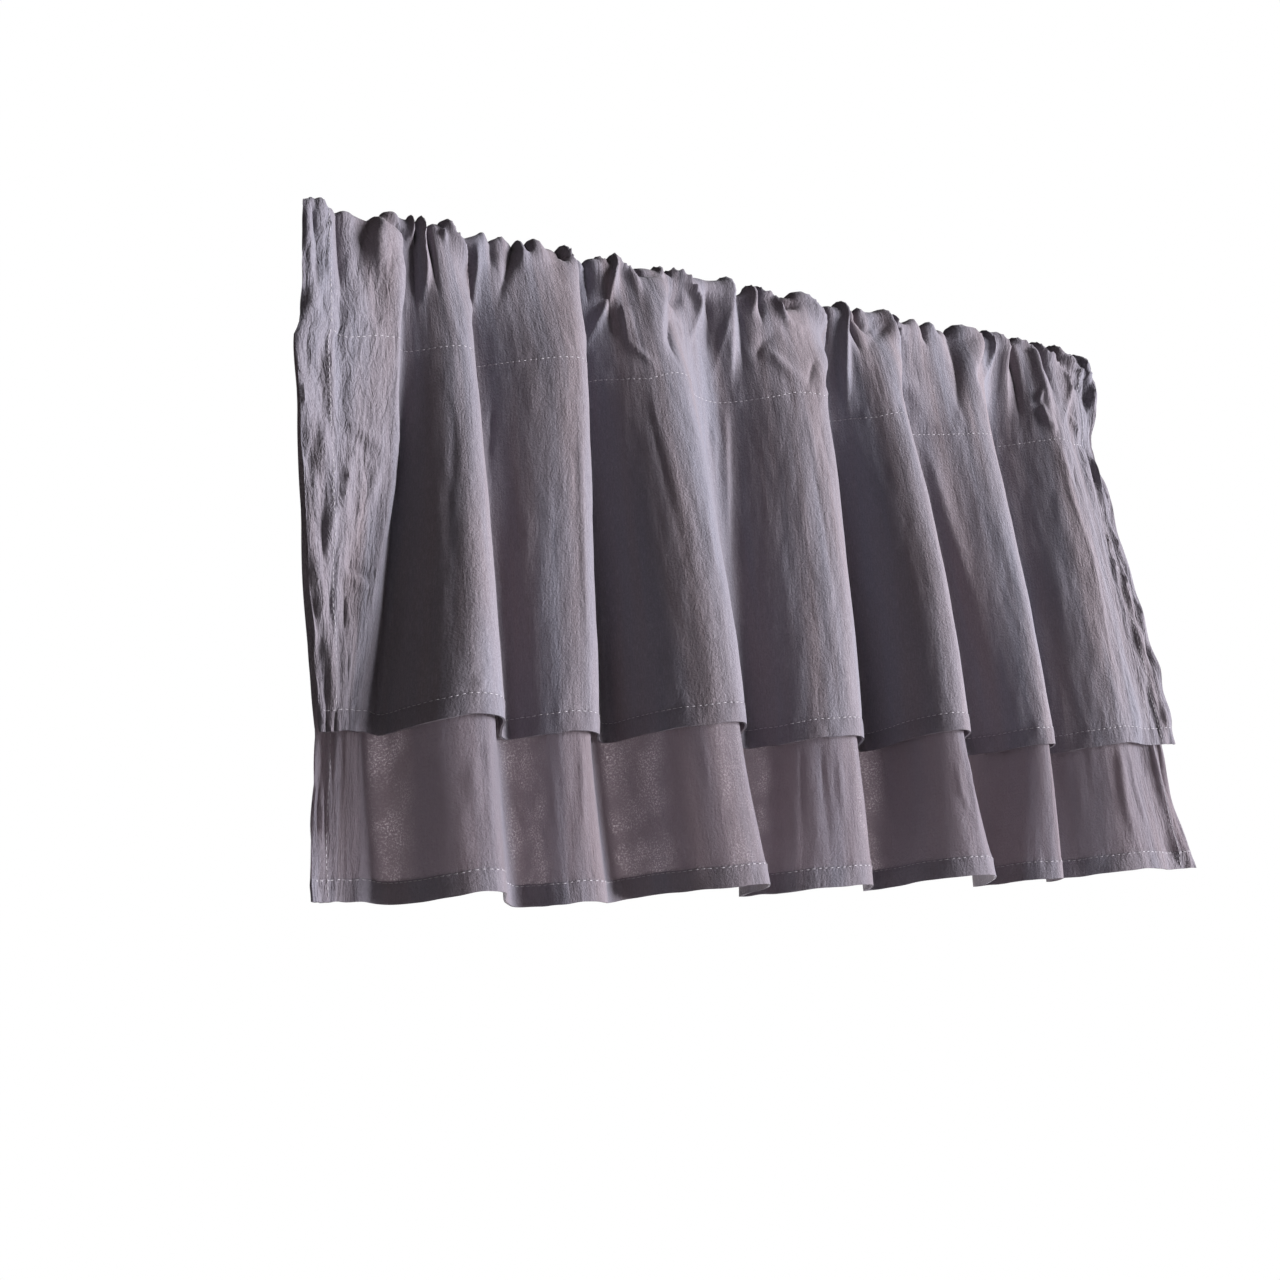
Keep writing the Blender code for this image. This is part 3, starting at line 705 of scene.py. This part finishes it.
def threadMaterial():
    material = bpy.data.materials.new("paleThread")
    material.use_nodes = True
    tree = material.node_tree
    shader = tree.nodes["Principled BSDF"]
    coordinates = tree.nodes.new("ShaderNodeTexCoord")
    shade = ramp(tree, stretched(tree, coordinates.outputs["Object"], (900, 900), 1.0), 0.3, 0.7)
    colour = mixColour(tree, shade, (0.34, 0.31, 0.33, 1), (0.50, 0.46, 0.49, 1))
    tree.links.new(colour, shader.inputs["Base Color"])
    shader.inputs["Roughness"].default_value = 0.75
    return material


# The strip of cloth, from the back hem up over the rod and down to the front hem
rowPlan = {"columns": 2073, "hemFinish": 16.0, "hemRows": 9, "frontStep": 3.0, "backStep": 4.1,
           "frontWall": 29, "backWall": 10, "overRod": 10}


def tierDrops(end, step):
    body = np.arange(curtain["pocketDrop"], end - rowPlan["hemFinish"], step)
    return np.concatenate([body, np.linspace(end - rowPlan["hemFinish"], end, rowPlan["hemRows"])])


radius, seamDrop = curtain["rodRadius"], curtain["pocketDrop"]
crown = radius * (math.pi / 2 - 1)          # how far the rod line's crown is above drop 0, along the cloth
degrees = np.linspace(0, 180, rowPlan["overRod"])
frontWallDrops = np.linspace(radius, seamDrop, rowPlan["frontWall"])
backWallDrops = np.linspace(radius, seamDrop, rowPlan["backWall"])
frontDrops = tierDrops(curtain["frontDrop"], rowPlan["frontStep"])
backDrops = tierDrops(curtain["backDrop"], rowPlan["backStep"])
t = evenColumns(rowPlan["columns"])
wide = np.linspace(0, 1000 * curtain["flatWidth"], rowPlan["columns"])
base = np.concatenate([
    backBase(t, backDrops[::-1]), wallBase(t, backWallDrops[::-1], 1)[:, 1:], overRod(t, degrees)[:, 1:-1],
    wallBase(t, frontWallDrops, -1)[:, :-1], frontBase(t, frontDrops),
], axis=1)
arc = np.radians(np.abs(degrees[1:-1] - 90)) * radius - crown
drops = np.concatenate([backDrops[::-1], backWallDrops[::-1][1:], arc, frontWallDrops[:-1], frontDrops])
backSeam = len(backDrops) - 1
top = backSeam + len(backWallDrops) + len(degrees) // 2 - 1
frontSeam = len(drops) - len(frontDrops)
side = np.where(np.arange(len(drops)) < top, -1.0, 1.0)
path = (drops + crown) * side
print("strip", base.shape, "crown row drop", round(float(drops[top]), 2))

gather = np.linalg.norm(np.diff(base, axis=0), axis=2).sum(0) / wide[-1]


def creasesOn(rows, creases):
    # rows must run downwards
    return creaseRelief((wide, drops[rows], base[:, rows, 0], gather[rows]), creases)


frontRows = np.arange(top, len(drops))
backRows = np.arange(top, -1, -1)
height = np.zeros(base.shape[:2])
height[:, frontRows] = creasesOn(frontRows, pocketCreases + frontCreases)
mirrored = creasesOn(backRows, pocketCreases + frontCreases)
backDown = drops[backRows]
# Behind, the gathers stand out from the rod near it, follow the front ones where they are
# sewn together, and fade out below the front tier's hem
sewn = smooth((backDown - 40) / 45)
mirrored = mirrored * (1 - 2 * sewn) * (1 - smooth((backDown - curtain["frontDrop"] + 50) / 50))
mirrored -= creasesOn(backRows, backCreases)
height[:, backRows] = mirrored

# Each fold's left flank is blown out a little, more where the fold is deeper
phase = t % 1
flank = np.where(phase < 0.42, np.sin(np.pi * phase / 0.42), 0.0) ** 1.3
depth = np.interp(drops, (20, seamDrop, curtain["frontDrop"], curtain["backDrop"]), (0, 36, 82, 82))
blown = np.array(relief["bulge"])[np.minimum(t.astype(int), curtain["folds"] - 1)]
height += (blown * flank)[:, None] * depth[None] * side[None]
risen = 1 - smooth((drops + crown) / relief["riseReach"])
height += relief["rise"] * risen * (1 - fromSide(t, 0.2)[:, None])

# Crinkle all over, stronger at the side hems and on the loose first and last fold
steps = (wide[1], 3.0)
edge = fromSide(t, 0.35)[:, None]
loose = np.clip(fromSide(t, 1.0)[:, None] * 1.6, 0, 1)
fine = crinkle(base.shape[:2], steps, (1.7, 8.0), 11)
middling = crinkle(base.shape[:2], steps, (4.5, 16.0), 12)
broad = crinkle(base.shape[:2], steps, (11.0, 34.0), 13)
seamHold = 0.35 + 0.65 * smooth(np.abs(drops - seamDrop) / 14)
height += relief["crinkle"] * seamHold * (
    fine * (0.12 + 0.12 * loose + 1.3 * edge) + middling * (0.20 + 0.28 * loose + 0.75 * edge) + broad * 0.45
)

# Stitching pulls the cloth in and puckers it
pucker = crinkle(base.shape[:2], steps, (2.4, 30.0), 14)
for line, wideness in (
    (seamDrop, 1.8), (curtain["frontDrop"] - 13.0, 1.6), (curtain["backDrop"] - 13.0, 1.6),
):
    onTier = (side > 0) == (line < curtain["frontDrop"])
    onLine = np.exp(-((drops - line) / wideness) ** 2) * (0.4 * side if line == seamDrop else onTier)
    height -= relief["stitchGroove"] * onLine
    near = np.exp(-((drops - line) / 6.0) ** 2) * onTier
    height += 0.22 * pucker * near

strip = base + outwards(base) * height[..., None]
broadWave = crinkle(base.shape[:2], steps, (16.0, 400.0), 15)
narrowWave = crinkle(base.shape[:2], steps, (5.0, 400.0), 16)
wave = broadWave * 0.7 + narrowWave * 0.3
for rows, end in ((frontRows, curtain["frontDrop"]), (backRows, curtain["backDrop"])):
    strip[:, rows, 2] += relief["hemWave"] * wave[:, rows] * smooth((drops[rows] - end + 70) / 70)
stepOut = smooth((drops - seamDrop) / 9) * (1 - smooth((drops - seamDrop) / 120))
strip[..., 0] -= curtain["hemStep"] * np.clip(1 - t / 0.4, 0, 1)[:, None] * stepOut[None]
strip[..., 0] -= curtain["width"] / 2
normals = outwards(strip)
print("strip shaped")

pieces = {
    "pocketCloth": {"slot": "pocket_cloth", "node": "rod_pocket", "rows": slice(backSeam, frontSeam + 1),
                    "every": 2, "length": 0.196, "hem": 999.0},
    "frontCloth": {"slot": "front_cloth", "node": "front_tier", "rows": slice(frontSeam, None),
                   "every": 4, "length": 0.258, "hem": curtain["frontDrop"] + crown - 13.6},
    "backCloth": {"slot": "back_cloth", "node": "back_tier", "rows": slice(0, backSeam + 1),
                  "every": 4, "length": 0.358, "hem": curtain["backDrop"] + crown - 13.6},
}
for name, plan in pieces.items():
    places = strip[::plan["every"], plan["rows"]]
    material = cottonMaterial(name + "Cotton", plan["hem"] * mm, name == "backCloth")
    piece, column = makeSheet(
        name, places, wide[::plan["every"]], path[plan["rows"]], material, plan["hem"])
    if name == "backCloth":
        # the sheer zones let more light through the cloth, and their base colour is also painted paler:
        # painted light
        xs = base[::plan["every"], np.argmin(np.abs(drops - 390)), 0][column]
        clear = sum(smooth((xs - left + 4) / 8) * smooth((right + 4 - xs) / 8) for left, right in sheerZones)
        sheerAndPaintedLight = piece.data.attributes.new("sheerAndPaintedLight", "FLOAT", "POINT")
        sheerAndPaintedLight.data.foreach_set("value", clear.astype(np.float32))
    giveThickness(piece)
    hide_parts(plan["node"])
    print(name, places.shape, "area", round(sum(f.area for f in piece.data.polygons) / 2, 4))

# Stitches
sewing = {"pitch": 4.0, "length": 3.3, "width": 0.5, "height": 0.3, "unevenness": 0.12}


def evenSteps(line, square, pitch, random):
    # Centre, direction and normal of each stitch along a line on the cloth
    runs = np.concatenate([[0], np.cumsum(np.linalg.norm(np.diff(line, axis=0), axis=1))])
    centres = np.arange(pitch, runs[-1] - pitch / 2, pitch)
    centres = centres + random.normal(size=len(centres)) * pitch * sewing["unevenness"] * 0.3
    for centre in centres:
        at = np.array([np.interp(centre, runs, line[:, k]) for k in range(3)])
        ahead = np.array([np.interp(centre + 1, runs, line[:, k]) for k in range(3)])
        normal = np.array([np.interp(centre, runs, square[:, k]) for k in range(3)])
        yield Vector(at), Vector(ahead - at).normalized(), Vector(normal).normalized()


def acrossLine(drop, front=True, wander=0.0):
    # The line across the cloth at a given drop
    rows = frontRows if front else backRows
    place = np.interp(drop + wander * np.ones(len(wide)), drops[rows], np.arange(len(rows)))
    low = np.minimum(place.astype(int), len(rows) - 2)
    every, f = np.arange(len(wide)), (place - low)[:, None]
    line, square = (blend(grid[every, rows[low]], grid[every, rows[low + 1]], f) for grid in (strip, normals))
    return line[::3], square[::3]


def downLine(fromLeft, rows):
    column = int(fromLeft / wide[1]) if fromLeft > 0 else int(len(wide) - 1 + fromLeft / wide[1])
    return strip[column, rows], normals[column, rows]


def makeStitches(name, lines, seed):
    random = np.random.default_rng(seed)
    shape = bmesh.new()
    for line, square, lift in lines:
        for centre, ahead, normal in evenSteps(line, square, sewing["pitch"], random):
            side = normal.cross(ahead).normalized()
            normal = ahead.cross(side)
            size = sewing["length"] * (1 + sewing["unevenness"] * random.normal() * 0.5)
            centre = (centre + normal * lift) * mm
            turn = Matrix((ahead * size, side * sewing["width"], normal * sewing["height"]))
            matrix = Matrix.Translation(centre) @ (turn.transposed() * mm).to_4x4()
            bmesh.ops.create_icosphere(shape, subdivisions=1, radius=0.5, matrix=matrix)
    bmesh.ops.recalc_face_normals(shape, faces=shape.faces)
    mesh = bpy.data.meshes.new(name)
    shape.to_mesh(mesh)
    shape.free()
    mesh.materials.append(thread)
    mesh.shade_smooth()
    piece = bpy.data.objects.new(name, mesh)
    bpy.context.scene.collection.objects.link(piece)
    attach(piece, "root")
    return piece


thread = threadMaterial()
proud = curtain["hemLayers"] / 2 + 0.10
single = curtain["oneLayer"] / 2 + 0.16
hemLine, sideLine = 12.6, 16.5
front, back = slice(frontSeam, None), slice(0, backSeam + 1)
pocket = slice(backSeam, frontSeam + 1)
# The stitching across wanders a few millimetres up and down
seamX = base[:, frontSeam, 0]
wander = np.interp(
    seamX, (0, 12, 28, 48, 70, 212, 240, 258, 345, 360, 400, 425, 440, 455, 600, 630, 650),
    (-3, 0, 6, 1, 0, 0, 5, 0, 0, -2, 0, 0, 2, 0, 0, 2, 0))
frontLines = [(*acrossLine(seamDrop + 0.6, wander=wander), single)]
backLines = [(*acrossLine(seamDrop + 0.6, False), single)]
pocketLines = []
for lift in (proud, -proud):
    frontLines.append((*acrossLine(curtain["frontDrop"] - hemLine), lift))
    backLines.append((*acrossLine(curtain["backDrop"] - hemLine, False), lift))
    for place in (sideLine, -sideLine):
        frontLines.append((*downLine(place, front), lift))
        backLines.append((*downLine(place, back), lift))
        pocketLines.append((*downLine(place, pocket), lift))
stitches = {
    "pocketCloth": makeStitches("pocketStitches", pocketLines, 7),
    "frontCloth": makeStitches("frontStitches", frontLines, 5),
    "backCloth": makeStitches("backStitches", backLines, 6),
}
print("stitches made")

# Camera at the photo's place
camera = {"place": (-0.572, -0.8345, -0.5205), "yaw": 28.81, "pitch": 14.33, "roll": -3.97, "lens": 41.03}
yaw, pitch, roll = (math.radians(camera[k]) for k in ("yaw", "pitch", "roll"))
ahead = Vector((math.sin(yaw) * math.cos(pitch), math.cos(yaw) * math.cos(pitch), math.sin(pitch)))
level = Vector((math.cos(yaw), -math.sin(yaw), 0.0))
above = level.cross(ahead)
right = level * math.cos(roll) + above * math.sin(roll)
up = above * math.cos(roll) - level * math.sin(roll)
viewpoint = bpy.data.objects.new("viewpoint", bpy.data.cameras.new("viewpoint"))
viewpoint.data.lens = camera["lens"]
viewpoint.data.sensor_width = 36.0
turned = Matrix((right, up, -ahead)).transposed().to_4x4()
viewpoint.matrix_world = Matrix.Translation(camera["place"]) @ turned
bpy.context.scene.collection.objects.link(viewpoint)
bpy.context.scene.camera = viewpoint

# Plain pale floor and soft studio light
studio = {
    "floorDrop": 1.05, "floorSize": 2.6,
    "keyFrom": (0.76, -0.65, 0.02), "keyAway": 4.5, "keySize": 2.0, "keyPower": 735.0,
    "fillFrom": (-0.75, -0.65, 0.10), "fillPower": 2.0,
    "behindPower": 19.0, "skyLight": 0.045,
}
floor = bmesh.new()
bmesh.ops.create_grid(floor, x_segments=1, y_segments=1, size=studio["floorSize"] / 2)
floorMesh = bpy.data.meshes.new("floor")
floor.to_mesh(floorMesh)
floor.free()
floorPiece = bpy.data.objects.new("floor", floorMesh)
floorPiece.location.z = -studio["floorDrop"]
bpy.context.scene.collection.objects.link(floorPiece)
floorPaint = bpy.data.materials.new("paleFloor")
floorPaint.use_nodes = True
floorPaint.node_tree.nodes["Principled BSDF"].inputs["Base Color"].default_value = (0.85, 0.85, 0.85, 1)
floorPaint.node_tree.nodes["Principled BSDF"].inputs["Roughness"].default_value = 0.8
floorMesh.materials.append(floorPaint)

middle = Vector((0, -0.03, -0.22))


def addLight(name, direction, away, size, power, tint=(1, 1, 1)):
    lamp = bpy.data.lights.new(name, "AREA")
    lamp.size, lamp.energy, lamp.color = size, power, tint
    holder = bpy.data.objects.new(name, lamp)
    direction = Vector(direction).normalized()
    holder.location = middle + direction * away
    holder.rotation_euler = direction.to_track_quat("Z", "Y").to_euler()
    bpy.context.scene.collection.objects.link(holder)


addLight("key", studio["keyFrom"], studio["keyAway"], studio["keySize"], studio["keyPower"],
         (0.94, 0.965, 1.0))
addLight("fill", studio["fillFrom"], 1.8, 1.2, studio["fillPower"], (1.0, 0.97, 0.96))
addLight("window", (0.1, 1, -0.4), 1.2, 1.2, studio["behindPower"], (1.0, 0.965, 0.97))
world = bpy.data.worlds.new("studio")
bpy.context.scene.world = world
world.use_nodes = True
sky = world.node_tree.nodes["Background"]
rays = world.node_tree.nodes.new("ShaderNodeLightPath")
skyColour = mixColour(world.node_tree, rays.outputs["Is Camera Ray"], (1, 0.91, 0.90, 1), (1, 1, 1, 1))
world.node_tree.links.new(skyColour, sky.inputs["Color"])
brightness = math2(world.node_tree, "MAXIMUM", rays.outputs["Is Camera Ray"], studio["skyLight"])
world.node_tree.links.new(brightness, sky.inputs["Strength"])
bpy.context.scene.view_settings.view_transform = "Standard"
print("studio made")
